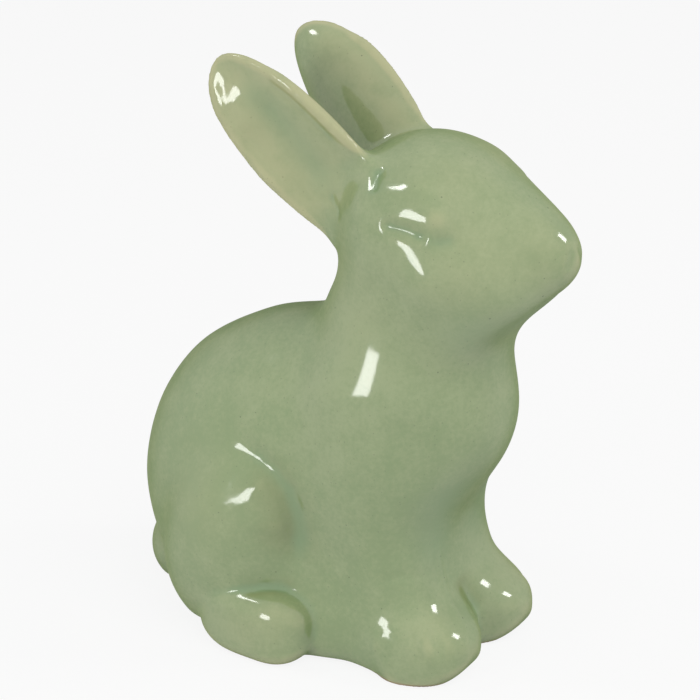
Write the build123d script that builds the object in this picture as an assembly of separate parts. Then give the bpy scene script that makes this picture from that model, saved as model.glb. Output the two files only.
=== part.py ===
from build123d import *
import os
from math import cos, pi, radians, sin, sqrt

import numpy as np

os.makedirs("parts", exist_ok=True)

# Seated ceramic rabbit, slip cast in pieces and luted together.
# Millimetres. +Z is up, -Y is the rabbit's front and the sheet X = 0 halves it.
# Its skin is a set of round clay masses that run into each other. Each mass has its
# full width, length and height, and its place is its centre.

# Shell and seams
WALL = 4.0
NECK_SEAM = 93.0
FOOT_EDGE = 3.0

# Barrel of the body, tipped nose up
BARREL_WIDTH = 58.0
BARREL_LENGTH = 82.0
BARREL_HEIGHT = 74.0
BARREL_BACK = 16.5
BARREL_RISE = 49.0
BARREL_PITCH = -15.0

# Rump
RUMP_WIDTH = 58.0
RUMP_LENGTH = 60.0
RUMP_HEIGHT = 77.0
RUMP_BACK = 37.0
RUMP_RISE = 34.0
RUMP_SOFTNESS = 10.0

# Chest
CHEST_WIDTH = 48.0
CHEST_LENGTH = 54.0
CHEST_HEIGHT = 60.0
CHEST_FORWARD = 13.5
CHEST_RISE = 68.5
CHEST_SOFTNESS = 14.0

# Shoulders, one each side
SHOULDER_WIDTH = 26.0
SHOULDER_LENGTH = 31.0
SHOULDER_HEIGHT = 56.0
SHOULDER_OUT = 13.0
SHOULDER_FORWARD = 11.5
SHOULDER_RISE = 58.5
SHOULDER_SOFTNESS = 10.0

# Neck, centred on the seam between body and head
NECK_WIDTH = 44.0
NECK_LENGTH = 44.0
NECK_HEIGHT = 44.0
NECK_FORWARD = 14.0
NECK_SOFTNESS = 10.0

# Belly, which brings the body down to the table between the feet
BELLY_WIDTH = 60.5
BELLY_LENGTH = 73.0
BELLY_HEIGHT = 60.0
BELLY_BACK = 10.0
BELLY_RISE = 8.0
BELLY_SOFTNESS = 15.0

# Haunches, in low relief with a tight crease in front
HAUNCH_WIDTH = 30.5
HAUNCH_LENGTH = 41.0
HAUNCH_HEIGHT = 60.0
HAUNCH_OUT = 22.0
HAUNCH_BACK = 27.5
HAUNCH_RISE = 28.0
HAUNCH_PITCH = 22.0
HAUNCH_SOFTNESS = 3.5

# Fore legs, columns that come out of the chest
LEG_TOP_OUT = 12.5
LEG_TOP_FORWARD = 7.7
LEG_TOP_RISE = 50.0
LEG_TOP_DIAMETER = 20.5
LEG_FOOT_OUT = 14.0
LEG_FOOT_FORWARD = 21.5
LEG_FOOT_DIAMETER = 25.0
LEG_SOFTNESS = 8.0

# Skull, above the neck seam
SKULL_WIDTH = 50.0
SKULL_LENGTH = 48.5
SKULL_HEIGHT = 45.0
SKULL_FORWARD = 18.5
SKULL_RISE = 23.5
SKULL_SOFTNESS = 8.0

# Muzzle, from the middle of the skull
MUZZLE_WIDTH = 25.0
MUZZLE_LENGTH = 40.0
MUZZLE_HEIGHT = 27.0
MUZZLE_FORWARD = 20.5
MUZZLE_DROP = 4.0
MUZZLE_PITCH = -5.0
MUZZLE_SOFTNESS = 14.0

# Cheeks, from the middle of the skull
CHEEK_WIDTH = 26.0
CHEEK_LENGTH = 38.0
CHEEK_HEIGHT = 30.0
CHEEK_OUT = 10.0
CHEEK_FORWARD = 12.0
CHEEK_DROP = 11.5
CHEEK_SOFTNESS = 8.0

# Eye mounds, from the middle of the skull
EYE_LENGTH = 12.0
EYE_HEIGHT = 9.0
EYE_PROUD = 1.1
EYE_FORWARD = 13.5
EYE_LIFT = 8.2

# Ears: root and tip from the middle of the skull, leaf-shaped and dished outwards
EAR_WIDTH = 28.0
EAR_THICKNESS = 7.0
EAR_DISH = 5.0
EAR_ROOT_OUT = 10.0
EAR_ROOT_BACK = 13.8
EAR_ROOT_LIFT = 3.6
EAR_TIP_OUT = 19.0
EAR_TIP_BACK = 53.0
EAR_TIP_LIFT = 38.0
EAR_BOW = 0.5

# Fore paws, from the foot of each leg, a little nearer to the middle
PAW_LENGTH = 33.0
PAW_WIDTH = 25.5
PAW_HEIGHT = 18.0
PAW_REACH = 2.1
PAW_INSET = 0.5
PAW_TOE_OUT = 1.0

# Hind feet, tucked under the haunches
FOOT_LENGTH = 37.0
FOOT_WIDTH = 23.5
FOOT_HEIGHT = 20.0
FOOT_REACH = 8.5
FOOT_PROUD = 1.0
FOOT_TOE_OUT = 1.0

# Tail, from the back end of the rump
TAIL_WIDTH = 26.0
TAIL_LENGTH = 25.0
TAIL_HEIGHT = 24.0
TAIL_PROUD = 3.3
TAIL_RISE = 7.5

# Underside: slip opening, its closing disc and the vent hole
OPENING_DIAMETER = 22.0
DISC_DIAMETER = 28.0
DISC_THICKNESS = 2.8
DISC_RECESS = 1.0
DISC_GAP = 0.15
VENT_DIAMETER = 5.0
FLOOR = 7.0

# How finely the skins are sliced
RAYS = 64
BODY_LEVELS = 26
HEAD_LEVELS = 15
EDGE_LEVELS = 3
LUMP_LEVELS = 9
LUMP_RAYS = 22
EAR_LEVELS = 13
EAR_RAYS = 30
HALVINGS = 30

# Shapes without a size of their own
EAR_FACE_SHARES = (0.95, -0.18, -0.18)
EAR_NARROW_SHARE = 0.12
EAR_WIDEST_SHARE = 0.34
EAR_THIN_SHARE = 0.30
EAR_TRIM_SHARE = 0.45
PAW_SINK_SHARE = 0.05
FOOT_SINK_SHARE = 0.05
TOE_FULLNESS = 2.4
TOE_SQUARENESS = 0.85
FOOT_FULLNESS = 4.0
FOOT_SQUARENESS = 0.65
SOLE_SQUARENESS = 0.40
ROUND = 2.0
EYE_DEPTH_SHARE = 0.40
TINY = 1e-9


def mass(points, centre, size, pitch=0.0):
    """Depth of each point under the skin of an egg-shaped mass, below zero inside."""
    offset = points - np.array(centre)
    lean, lift = cos(radians(pitch)), sin(radians(pitch))
    turned = np.stack(
        [
            offset[..., 0],
            lean * offset[..., 1] + lift * offset[..., 2],
            lean * offset[..., 2] - lift * offset[..., 1],
        ],
        axis=-1,
    )
    half = np.array(size) / 2
    reach = np.linalg.norm(turned / half, axis=-1)
    slope = np.linalg.norm(turned / half**2, axis=-1)
    return reach * (reach - 1) / np.maximum(slope, TINY)


def column(points, start, end, start_diameter, end_diameter):
    """Depth under the skin of a tapered column with round ends."""
    run = np.array(end) - np.array(start)
    offset = points - np.array(start)
    share = np.clip(offset @ run / (run @ run), 0, 1)
    away = np.linalg.norm(offset - share[..., None] * run, axis=-1)
    return away - (start_diameter + (end_diameter - start_diameter) * share) / 2


def join(first, second, softness):
    """Run two masses into each other, with a fillet as soft as asked."""
    overlap = np.maximum(softness - np.abs(first - second), 0) / softness
    return np.minimum(first, second) - overlap**2 * softness / 4


def both_sides(points):
    """Fold space at the middle, so that one mass stands on the left and the right."""
    folded = points.copy()
    folded[..., 0] = np.abs(folded[..., 0])
    return folded


def trunk(points):
    """The large masses of the body, without its limbs."""
    skin = mass(
        points,
        (0, BARREL_BACK, BARREL_RISE),
        (BARREL_WIDTH, BARREL_LENGTH, BARREL_HEIGHT),
        BARREL_PITCH,
    )
    rump = mass(points, (0, RUMP_BACK, RUMP_RISE), (RUMP_WIDTH, RUMP_LENGTH, RUMP_HEIGHT))
    skin = join(skin, rump, RUMP_SOFTNESS)
    chest = mass(points, (0, -CHEST_FORWARD, CHEST_RISE), (CHEST_WIDTH, CHEST_LENGTH, CHEST_HEIGHT))
    skin = join(skin, chest, CHEST_SOFTNESS)
    neck = mass(points, (0, -NECK_FORWARD, NECK_SEAM), (NECK_WIDTH, NECK_LENGTH, NECK_HEIGHT))
    skin = join(skin, neck, NECK_SOFTNESS)
    belly = mass(points, (0, BELLY_BACK, BELLY_RISE), (BELLY_WIDTH, BELLY_LENGTH, BELLY_HEIGHT))
    return join(skin, belly, BELLY_SOFTNESS)


def limbs(points):
    """The trunk with its shoulders, haunches and fore leg columns."""
    folded = both_sides(points)
    shoulder = mass(
        folded,
        (SHOULDER_OUT, -SHOULDER_FORWARD, SHOULDER_RISE),
        (SHOULDER_WIDTH, SHOULDER_LENGTH, SHOULDER_HEIGHT),
    )
    skin = join(trunk(points), shoulder, SHOULDER_SOFTNESS)
    haunch = mass(
        folded,
        (HAUNCH_OUT, HAUNCH_BACK, HAUNCH_RISE),
        (HAUNCH_WIDTH, HAUNCH_LENGTH, HAUNCH_HEIGHT),
        HAUNCH_PITCH,
    )
    skin = join(skin, haunch, HAUNCH_SOFTNESS)
    leg = column(
        folded,
        (LEG_TOP_OUT, -LEG_TOP_FORWARD, LEG_TOP_RISE),
        (LEG_FOOT_OUT, -LEG_FOOT_FORWARD, 0),
        LEG_TOP_DIAMETER,
        LEG_FOOT_DIAMETER,
    )
    return join(skin, leg, LEG_SOFTNESS)


SKULL_LEVEL = NECK_SEAM + SKULL_RISE
MUZZLE_PLACE = (0, -SKULL_FORWARD - MUZZLE_FORWARD, SKULL_LEVEL - MUZZLE_DROP)
CHEEK_PLACE = (CHEEK_OUT, -SKULL_FORWARD - CHEEK_FORWARD, SKULL_LEVEL - CHEEK_DROP)


def skull(points):
    """The bare skull."""
    return mass(points, (0, -SKULL_FORWARD, SKULL_LEVEL), (SKULL_WIDTH, SKULL_LENGTH, SKULL_HEIGHT))


def figure(points):
    """The whole skin of body and head, without ears, paws, feet and tail."""
    muzzle = mass(points, MUZZLE_PLACE, (MUZZLE_WIDTH, MUZZLE_LENGTH, MUZZLE_HEIGHT), MUZZLE_PITCH)
    face = join(skull(points), muzzle, MUZZLE_SOFTNESS)
    cheek = mass(both_sides(points), CHEEK_PLACE, (CHEEK_WIDTH, CHEEK_LENGTH, CHEEK_HEIGHT))
    face = join(face, cheek, CHEEK_SOFTNESS)
    return join(limbs(points), face, SKULL_SOFTNESS)


def hollow(points):
    """The space inside the casting: limbs and muzzle fill up, the rest keeps its wall."""
    return join(trunk(points), skull(points), SKULL_SOFTNESS) + WALL


def slice_middle(level):
    """How far back the rays of one level slice start."""
    if level < NECK_SEAM:
        return BELLY_BACK - (NECK_FORWARD + BELLY_BACK) * (level / NECK_SEAM) ** 3
    climb = (level - NECK_SEAM) / SKULL_RISE
    return -NECK_FORWARD - (SKULL_FORWARD - NECK_FORWARD) * min(climb, 1)


def outlines(skin, levels, insets):
    """Closed outlines of a skin at each level, drawn in by that level's inset."""
    angles = np.linspace(0, 2 * pi, RAYS, endpoint=False)
    ways = np.stack([np.sin(angles), -np.cos(angles), 0 * angles], axis=-1)
    middles = np.array([(0, slice_middle(level), level) for level in levels], dtype=float)
    inner = np.zeros((len(levels), RAYS))
    outer = np.full((len(levels), RAYS), BARREL_LENGTH + RUMP_LENGTH)
    for _ in range(HALVINGS):
        half_way = (inner + outer) / 2
        inside = skin(middles[:, None] + ways * half_way[..., None]) < 0
        inner = np.where(inside, half_way, inner)
        outer = np.where(inside, outer, half_way)
    radii = inner - np.array(insets)[:, None]
    return middles[:, None] + ways * radii[..., None]


def closed_wire(points):
    """One smooth closed wire, with evenly spaced parameters so that lofts stay light."""
    count = len(points)
    steps = [index / count for index in range(count + 1)]
    return Wire([Edge.make_spline([tuple(p) for p in points], periodic=True, parameters=steps)])


def skin_loft(rings, first=None, last=None):
    """Smooth solid through rings of points, closed to a point where one is given."""
    sections = [closed_wire(ring) for ring in rings]
    if first is not None:
        sections.insert(0, Vertex(*first))
    if last is not None:
        sections.append(Vertex(*last))
    return Solid.make_loft(sections)


def crown_height(skin):
    """Height of a skin above the middle of the skull."""
    low, high = SKULL_LEVEL, SKULL_LEVEL + SKULL_HEIGHT
    for _ in range(HALVINGS):
        middle = (low + high) / 2
        if skin(np.array([0, -SKULL_FORWARD, middle], dtype=float)) < 0:
            low = middle
        else:
            high = middle
    return low


def dome_levels(low, high):
    """Levels that crowd together towards the top of a dome."""
    return [low + (high - low) * sin(pi / 2 * i / HEAD_LEVELS) for i in range(HEAD_LEVELS)]


def body_outside():
    """Outer form of the body, rounded where it meets the table."""
    turns = [pi / 2 * i / EDGE_LEVELS for i in range(EDGE_LEVELS)]
    levels = [FOOT_EDGE * (1 - cos(turn)) for turn in turns]
    insets = [FOOT_EDGE * (1 - sin(turn)) for turn in turns]
    climb = NECK_SEAM - FOOT_EDGE
    for index in range(BODY_LEVELS + 1):
        share = index / BODY_LEVELS
        crowded = sin(pi / 2 * share)
        levels.append(FOOT_EDGE + climb * (share + crowded) / 2)
        insets.append(0)
    return skin_loft(outlines(figure, levels, insets))


def head_outside():
    """Outer form of the head, from the neck seam to the crown."""
    top = crown_height(figure)
    levels = dome_levels(NECK_SEAM, top)
    return skin_loft(outlines(figure, levels, [0] * len(levels)), last=(0, -SKULL_FORWARD, top))


def body_casting(outside):
    """Hollow body, open at the neck, with the slip opening and the disc's seat below."""
    climb = NECK_SEAM - FLOOR
    levels = [FLOOR + climb * i / HEAD_LEVELS for i in range(HEAD_LEVELS + 1)]
    space = skin_loft(outlines(hollow, levels, [0] * len(levels)))
    opening = Pos(0, BARREL_BACK, 0) * Cylinder(
        OPENING_DIAMETER / 2, FLOOR, align=(Align.CENTER, Align.CENTER, Align.MIN)
    )
    seat = Pos(0, BARREL_BACK, 0) * Cylinder(
        DISC_DIAMETER / 2 + DISC_GAP,
        DISC_RECESS + DISC_THICKNESS,
        align=(Align.CENTER, Align.CENTER, Align.MIN),
    )
    return outside - space - opening - seat


def base_disc():
    """Disc that closes the slip opening, set up from the table, with a vent hole."""
    low = (Align.CENTER, Align.CENTER, Align.MIN)
    disc = Cylinder(DISC_DIAMETER / 2, DISC_THICKNESS, align=low)
    vent = Cylinder(VENT_DIAMETER / 2, DISC_THICKNESS, align=low)
    return Pos(0, BARREL_BACK, DISC_RECESS) * (disc - vent)


def eye_mound():
    """Soft oval mound of the left eye, laid on the side of the head."""
    back, rise = -SKULL_FORWARD - EYE_FORWARD, SKULL_LEVEL + EYE_LIFT
    inner, outer = 0, SKULL_WIDTH
    for _ in range(HALVINGS):
        out = (inner + outer) / 2
        if figure(np.array([out, back, rise], dtype=float)) < 0:
            inner = out
        else:
            outer = out
    spot = np.array([inner, back, rise], dtype=float)
    step = EYE_PROUD
    slope = [figure(spot + step * way) - figure(spot - step * way) for way in np.eye(3)]
    face = Plane(origin=tuple(spot), x_dir=(0, 0, 1), z_dir=tuple(slope))
    depth = EYE_DEPTH_SHARE * EYE_HEIGHT
    ball = scale(Sphere(EYE_LENGTH / 2), by=(EYE_HEIGHT / EYE_LENGTH, 1, 2 * depth / EYE_LENGTH))
    return face * Pos(0, 0, EYE_PROUD - depth) * ball


def head_casting(outside):
    """Hollow head with its two eye mounds, open at the neck."""
    top = crown_height(hollow)
    levels = dome_levels(NECK_SEAM, top)
    rings = outlines(hollow, levels, [0] * len(levels))
    space = skin_loft(rings, last=(0, -SKULL_FORWARD, top))
    eye = eye_mound()
    return outside + eye + mirror(eye, Plane.YZ) - space


def ear_width(share):
    """Half width of the leaf at a share of its length from the root."""
    if share < EAR_WIDEST_SHARE:
        narrow = EAR_NARROW_SHARE * ((EAR_WIDEST_SHARE - share) / EAR_WIDEST_SHARE) ** 2
        return EAR_WIDTH / 2 * (1 - narrow)
    beyond = (share - EAR_WIDEST_SHARE) / (1 - EAR_WIDEST_SHARE)
    return EAR_WIDTH / 2 * sqrt(1 - beyond**TOE_FULLNESS)


def ear_thickness(share):
    """Half thickness of the leaf, which thins out towards its tip."""
    if share < EAR_THIN_SHARE:
        return EAR_THICKNESS / 2 * (1 + EAR_THIN_SHARE * (1 - share / EAR_THIN_SHARE) ** 2)
    beyond = (share - EAR_THIN_SHARE) / (1 - EAR_THIN_SHARE)
    return EAR_THICKNESS / 2 * sqrt(1 - beyond**3)


def leaf():
    """Left ear before it is trimmed: a dished leaf along a gently bowed line."""
    root = np.array([EAR_ROOT_OUT, -SKULL_FORWARD + EAR_ROOT_BACK, SKULL_LEVEL + EAR_ROOT_LIFT])
    tip = np.array([EAR_TIP_OUT, -SKULL_FORWARD + EAR_TIP_BACK, SKULL_LEVEL + EAR_TIP_LIFT])
    length = np.linalg.norm(tip - root)
    along = (tip - root) / length
    face = np.array(EAR_FACE_SHARES)
    face = face - along * (face @ along)
    face = face / np.linalg.norm(face)
    across = np.cross(along, face)
    angles = np.linspace(0, 2 * pi, EAR_RAYS, endpoint=False)
    rings = []
    for index in range(EAR_LEVELS):
        share = sin(pi / 2 * index / EAR_LEVELS)
        width = ear_width(share)
        wide = width * np.cos(angles)
        dish = EAR_DISH * width / (EAR_WIDTH / 2) * (np.cos(angles) ** 2 - EAR_TRIM_SHARE)
        deep = dish + ear_thickness(share) * np.sin(angles)
        middle = root + along * length * share + face * EAR_BOW * 4 * share * (1 - share)
        rings.append(middle + across * wide[:, None] + face * deep[:, None])
    return skin_loft(rings, last=tuple(tip))


def lump(length, width, height, sink_share, toe_fullness, heel_fullness, squareness, sole_squareness):
    """Pressed lump of clay that lies along Y, its sole cut flat on the table."""
    angles = np.linspace(0, 2 * pi, LUMP_RAYS, endpoint=False)
    power = np.where(np.sin(angles) < 0, sole_squareness, squareness)
    wide = np.sign(np.cos(angles)) * np.abs(np.cos(angles)) ** power
    tall = np.sign(np.sin(angles)) * np.abs(np.sin(angles)) ** power
    middle = height * (1 / 2 - sink_share)
    rings = []
    for index in range(1, LUMP_LEVELS):
        along = -cos(pi * index / LUMP_LEVELS)
        fullness = toe_fullness if along < 0 else heel_fullness
        swell = sqrt(1 - abs(along) ** fullness)
        rings.append(
            np.stack(
                [
                    width / 2 * swell * wide,
                    np.full(LUMP_RAYS, length / 2 * along),
                    middle + height / 2 * swell * tall,
                ],
                axis=-1,
            )
        )
    ends = [(0, -length / 2, middle), (0, length / 2, middle)]
    whole = skin_loft(rings, first=ends[0], last=ends[1])
    below = Box(2 * width, 2 * length, height, align=(Align.CENTER, Align.CENTER, Align.MAX))
    return whole - below


def largest(shape):
    """The largest solid of a cut, without slivers."""
    return max(shape.solids(), key=lambda solid: solid.volume)


def paw_lump():
    """Left fore paw before it is trimmed, at the foot of its leg."""
    paw = lump(
        PAW_LENGTH,
        PAW_WIDTH,
        PAW_HEIGHT,
        PAW_SINK_SHARE,
        TOE_FULLNESS,
        TOE_FULLNESS,
        TOE_SQUARENESS,
        SOLE_SQUARENESS,
    )
    place = Pos(LEG_FOOT_OUT - PAW_INSET, -LEG_FOOT_FORWARD - PAW_REACH, 0)
    return place * Rot(0, 0, PAW_TOE_OUT) * paw


def foot_lump():
    """Left hind foot before it is trimmed, under the front of the haunch."""
    foot = lump(
        FOOT_LENGTH,
        FOOT_WIDTH,
        FOOT_HEIGHT,
        FOOT_SINK_SHARE,
        FOOT_FULLNESS,
        TOE_FULLNESS,
        FOOT_SQUARENESS,
        SOLE_SQUARENESS,
    )
    out = HAUNCH_OUT + HAUNCH_WIDTH / 2 + FOOT_PROUD - FOOT_WIDTH / 2
    back = HAUNCH_BACK - HAUNCH_LENGTH / 2 - FOOT_REACH + FOOT_LENGTH / 2
    return Pos(out, back, 0) * Rot(0, 0, FOOT_TOE_OUT) * foot


def tail_lump():
    """Tail before it is trimmed, low on the rump."""
    sink_share = 1 / 2 - TAIL_RISE / TAIL_HEIGHT
    plug = lump(TAIL_LENGTH, TAIL_WIDTH, TAIL_HEIGHT, sink_share, ROUND, ROUND, 1, 1)
    return Pos(0, RUMP_BACK + RUMP_LENGTH / 2 + TAIL_PROUD - TAIL_LENGTH / 2, 0) * plug


body_form = body_outside()
head_form = head_outside()
pieces = {
    "body_casting": body_casting(body_form),
    "head_casting": head_casting(head_form),
    "tail": largest(tail_lump() - body_form),
    "base_disc": base_disc(),
}
# Each limb is luted to the casting that carries it, and the right one mirrors the left
for name, form, carrier in [
    ("ear", leaf(), head_form),
    ("fore_paw", paw_lump(), body_form),
    ("hind_foot", foot_lump(), body_form),
]:
    pieces[f"{name}_left"] = largest(form - carrier)
    pieces[f"{name}_right"] = largest(mirror(form, Plane.YZ) - carrier)

# The origin goes under the middle of the figure's box
front = min(piece.bounding_box().min.Y for piece in pieces.values())
rear = max(piece.bounding_box().max.Y for piece in pieces.values())
for name, piece in pieces.items():
    export_step(Pos(0, -(front + rear) / 2, 0) * piece, f"parts/{name}.step")
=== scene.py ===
"""Glazed rabbit ornament: one continuous celadon glaze over the cast clay pieces."""

import math
from collections import namedtuple

import bpy
import numpy as np
import openvdb
from bpy.props import FloatProperty, FloatVectorProperty, IntProperty, PointerProperty
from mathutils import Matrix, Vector


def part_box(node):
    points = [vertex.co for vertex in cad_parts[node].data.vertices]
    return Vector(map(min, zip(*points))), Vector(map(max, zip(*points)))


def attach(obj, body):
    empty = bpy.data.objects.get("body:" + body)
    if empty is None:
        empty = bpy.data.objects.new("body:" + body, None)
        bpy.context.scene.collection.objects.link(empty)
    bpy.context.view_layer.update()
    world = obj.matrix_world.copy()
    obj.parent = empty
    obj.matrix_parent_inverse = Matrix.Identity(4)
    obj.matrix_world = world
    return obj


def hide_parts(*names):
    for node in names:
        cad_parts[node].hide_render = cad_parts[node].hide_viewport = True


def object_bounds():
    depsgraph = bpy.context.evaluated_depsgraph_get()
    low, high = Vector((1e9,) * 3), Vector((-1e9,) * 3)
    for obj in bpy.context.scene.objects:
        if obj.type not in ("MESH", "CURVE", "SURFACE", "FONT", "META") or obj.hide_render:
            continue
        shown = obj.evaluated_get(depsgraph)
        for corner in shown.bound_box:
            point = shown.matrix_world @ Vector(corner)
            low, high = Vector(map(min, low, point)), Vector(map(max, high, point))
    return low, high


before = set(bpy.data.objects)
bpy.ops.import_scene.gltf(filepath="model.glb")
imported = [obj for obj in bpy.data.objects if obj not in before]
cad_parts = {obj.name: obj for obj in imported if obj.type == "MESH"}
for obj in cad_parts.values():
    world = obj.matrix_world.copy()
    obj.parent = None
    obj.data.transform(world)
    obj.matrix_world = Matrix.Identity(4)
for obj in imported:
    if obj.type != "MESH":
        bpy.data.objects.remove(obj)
CAD_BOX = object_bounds()

bl_info = {
    "name": "Glazed Rabbit",
    "version": (1, 0, 0),
    "blender": (4, 5, 0),
    "location": "3D View > Sidebar > Rabbit",
    "description": "Builds the glaze skin, clay and studio of a seated ceramic rabbit",
    "category": "Object",
}

BODY = "root"
CASTINGS = ("body_casting", "head_casting")

# Pressed pieces, each with the setting that says how softly it runs into the castings
LIMBS = {
    "ear_left": "ear_fillet",
    "ear_right": "ear_fillet",
    "fore_paw_left": "paw_fillet",
    "fore_paw_right": "paw_fillet",
    "hind_foot_left": "foot_fillet",
    "hind_foot_right": "foot_fillet",
    "tail": "tail_fillet",
}
PIECES = (*CASTINGS, *LIMBS)
# Shades kept on the skin: thin and pooled follow the bend of the glaze, olive is painted shade, and
# the drifts also paint light on the far ear and shade under the chin and between the legs
SHADES = ("thin", "pooled", "olive", "bare")
MILLIMETRE = 0.001

# Keeps a division by a length from failing where that length is nothing
TINY = 1e-12

# Sides of the rabbit that a stroke is on: the near one faces the photograph's camera
BOTH, NEAR, FAR = (1, -1), (-1,), (1,)

# Places that the modelling tool and the glaze follow, in millimetres, given on the left side
LINES = {
    # Belly, throat and the root of the ear
    "belly": [(0.0, -34.0, 44.0), (0.0, -33.0, 36.0)],
    "leg root": [(11.0, -35.0, 46.0), (9.0, -33.0, 34.0)],
    "throat": [(20.0, -42.0, 93.5), (10.0, -48.5, 94.0), (0.0, -50.0, 94.5)],
    "throat side": [(20.0, -42.0, 93.5), (14.0, -46.0, 94.0)],
    "under ear": [(15.6, -3.5, 122.5), (18.4, -8.0, 121.0), (20.5, -9.5, 116.0)],
    "chin": [(14.5, -46.0, 96.5), (5.0, -53.0, 98.0)],
    "between legs": [(13.0, -36.0, 47.0), (10.0, -34.0, 35.0)],
    "neck": [(24.0, -16.0, 100.0)],
    "shoulder": [(26.3, -8.0, 76.5), (21.3, -30.5, 76.5)],
    # Face
    "forehead": [(12.0, -34.0, 134.0)],
    "brow": [(19.5, -31.8, 131.0)],
    "eye mound": [(20.6, -36.6, 125.2)],
    "eye groove": [
        (25.2, -22.5, 122.9),
        (24.6, -25.8, 122.2),
        (23.4, -29.8, 121.7),
        (22.6, -31.6, 121.0),
        (22.2, -33.5, 120.5),
        (21.7, -35.8, 119.8),
    ],
    "eye corner": [(21.7, -35.8, 119.8), (20.9, -38.4, 119.8), (18.8, -42.0, 120.6)],
    "eye pool": [
        (22.2, -33.5, 120.5),
        (21.7, -35.8, 119.8),
        (20.9, -38.4, 119.8),
        (18.8, -42.0, 120.6),
    ],
    "cheek": [(24.4, -36.5, 109.0)],
    "cheek front": [(19.5, -45.6, 115.8)],
    "temple": [(24.5, -21.0, 118.5)],
    "muzzle": [(8.1, -58.2, 117.8)],
    "nose side": [(0.8, -63.9, 117.6), (2.5, -64.2, 114.8), (3.8, -63.8, 111.5)],
    # Ears
    "ear groove": [(15.0, -17.4, 133.5), (17.5, -18.3, 130.3), (20.0, -19.5, 127.0)],
    "dish end": [(13.6, -1.0, 124.6), (14.5, -5.0, 121.0), (17.5, -7.9, 118.5)],
    "front rim": [
        (19.9, 14.9, 155.5),
        (19.4, 7.3, 151.8),
        (18.5, 0.0, 146.4),
        (16.9, -6.4, 140.3),
        (16.8, -12.7, 134.2),
    ],
    "front fold": [
        (19.8, 13.8, 151.9),
        (18.9, 6.2, 147.3),
        (17.4, -0.1, 141.6),
        (15.8, -6.3, 135.4),
    ],
    "front edge": [
        (19.8, 18.4, 153.9),
        (18.8, 6.8, 149.8),
        (17.5, -4.0, 142.5),
        (16.2, -11.3, 135.2),
    ],
    "back rim": [
        (19.4, 27.6, 153.8),
        (19.8, 28.3, 147.9),
        (19.7, 25.6, 140.6),
        (18.9, 20.8, 133.4),
        (17.9, 15.0, 126.3),
        (16.2, 7.7, 120.4),
    ],
    "back edge": [
        (19.8, 28.2, 142.8),
        (17.0, 19.0, 133.0),
        (14.0, 8.0, 122.0),
        (14.0, 0.0, 115.0),
    ],
    "dish": [(18.5, 16.9, 146.8), (16.9, 11.2, 139.6), (15.4, 5.7, 132.5), (14.7, -0.3, 125.6)],
    "dish pool": [
        (18.8, 24.0, 150.0),
        (18.0, 15.2, 145.4),
        (15.5, 5.6, 135.1),
        (14.0, 0.2, 127.9),
        (13.8, -3.5, 121.0),
    ],
    "dish swell": [(18.9, 23.0, 143.5), (18.6, 20.5, 140.5)],
    "ear middle": [(19.5, 22.0, 147.0), (16.5, 10.0, 135.0), (15.0, 3.0, 128.0)],
    "inner face": [(14.9, 15.3, 152.2), (13.4, 6.7, 147.3), (12.0, -1.7, 141.0), (9.8, -9.1, 134.9)],
    "inner shade": [(13.5, 27.0, 146.0), (11.0, 20.0, 138.0), (9.0, 13.0, 132.0), (8.0, 6.0, 126.5)],
    # Haunch and hind foot
    "haunch fold": [
        (28.1, 20.3, 57.7),
        (28.8, 16.0, 56.3),
        (28.7, 10.4, 54.2),
        (28.4, 5.4, 51.4),
        (27.9, 1.8, 47.1),
        (27.3, 0.1, 41.1),
        (26.9, -0.5, 34.5),
        (27.3, -0.7, 27.5),
        (28.6, 0.4, 21.4),
    ],
    "haunch pool": [
        (28.7, 10.4, 54.2),
        (28.4, 5.4, 51.4),
        (27.6, 1.0, 47.1),
        (26.6, -1.3, 41.1),
        (26.2, -1.9, 34.5),
        (26.6, -2.1, 27.5),
    ],
    "haunch swell": [(31.1, 13.5, 51.0), (31.1, 7.6, 46.9), (30.9, 5.5, 40.6), (30.9, 5.0, 32.2)],
    "haunch shade": [
        (29.5, 13.0, 53.5),
        (29.9, 6.5, 49.0),
        (29.6, 3.0, 43.0),
        (29.3, 2.2, 35.0),
        (29.8, 3.5, 26.0),
    ],
    "haunch back": [(32.0, 24.0, 40.0)],
    "foot crease": [(35.8, 11.8, 17.4), (31.9, 5.1, 19.4), (28.3, -1.3, 21.0)],
    "hind toes": [(36.5, 2.0, 13.0), (38.0, 8.0, 9.0)],
    # Fore leg and paw
    "leg edge": [
        (11.0, -32.5, 36.0),
        (9.5, -31.7, 30.8),
        (8.9, -33.3, 23.0),
        (11.1, -38.0, 17.2),
        (13.2, -42.0, 14.4),
        (14.6, -44.6, 11.0),
    ],
    "wrist": [(24.9, -22.1, 26.2), (21.5, -28.0, 28.0), (12.3, -32.3, 26.2)],
    "outer toe": [(24.5, -33.0, 16.0), (25.6, -36.0, 11.0), (26.3, -37.0, 6.0)],
    "inner toe": [(20.5, -36.5, 17.0), (22.6, -40.5, 12.0), (23.4, -41.5, 7.0)],
    "fore toes": [(20.5, -38.0, 14.0)],
    "between paws": [(1.8, -33.7, 21.5), (1.0, -35.0, 16.5), (0.5, -37.3, 11.0)],
}

# A stroke along a line: its amount, its half width in millimetres, the share of its length
# over which it fades at both ends, and the sides that it is on
Stroke = namedtuple("Stroke", "line amount width fade sides", defaults=(0.0, BOTH))

# Places evened out by many rounds of smoothing, where the amount sharpens the edge
EVENED = (
    Stroke("belly", 1.5, 11.0),
    Stroke("leg root", 1.5, 7.0),
    Stroke("throat", 1.5, 9.0),
    Stroke("throat side", 1.5, 8.0),
    Stroke("under ear", 1.5, 4.5),
)

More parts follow.
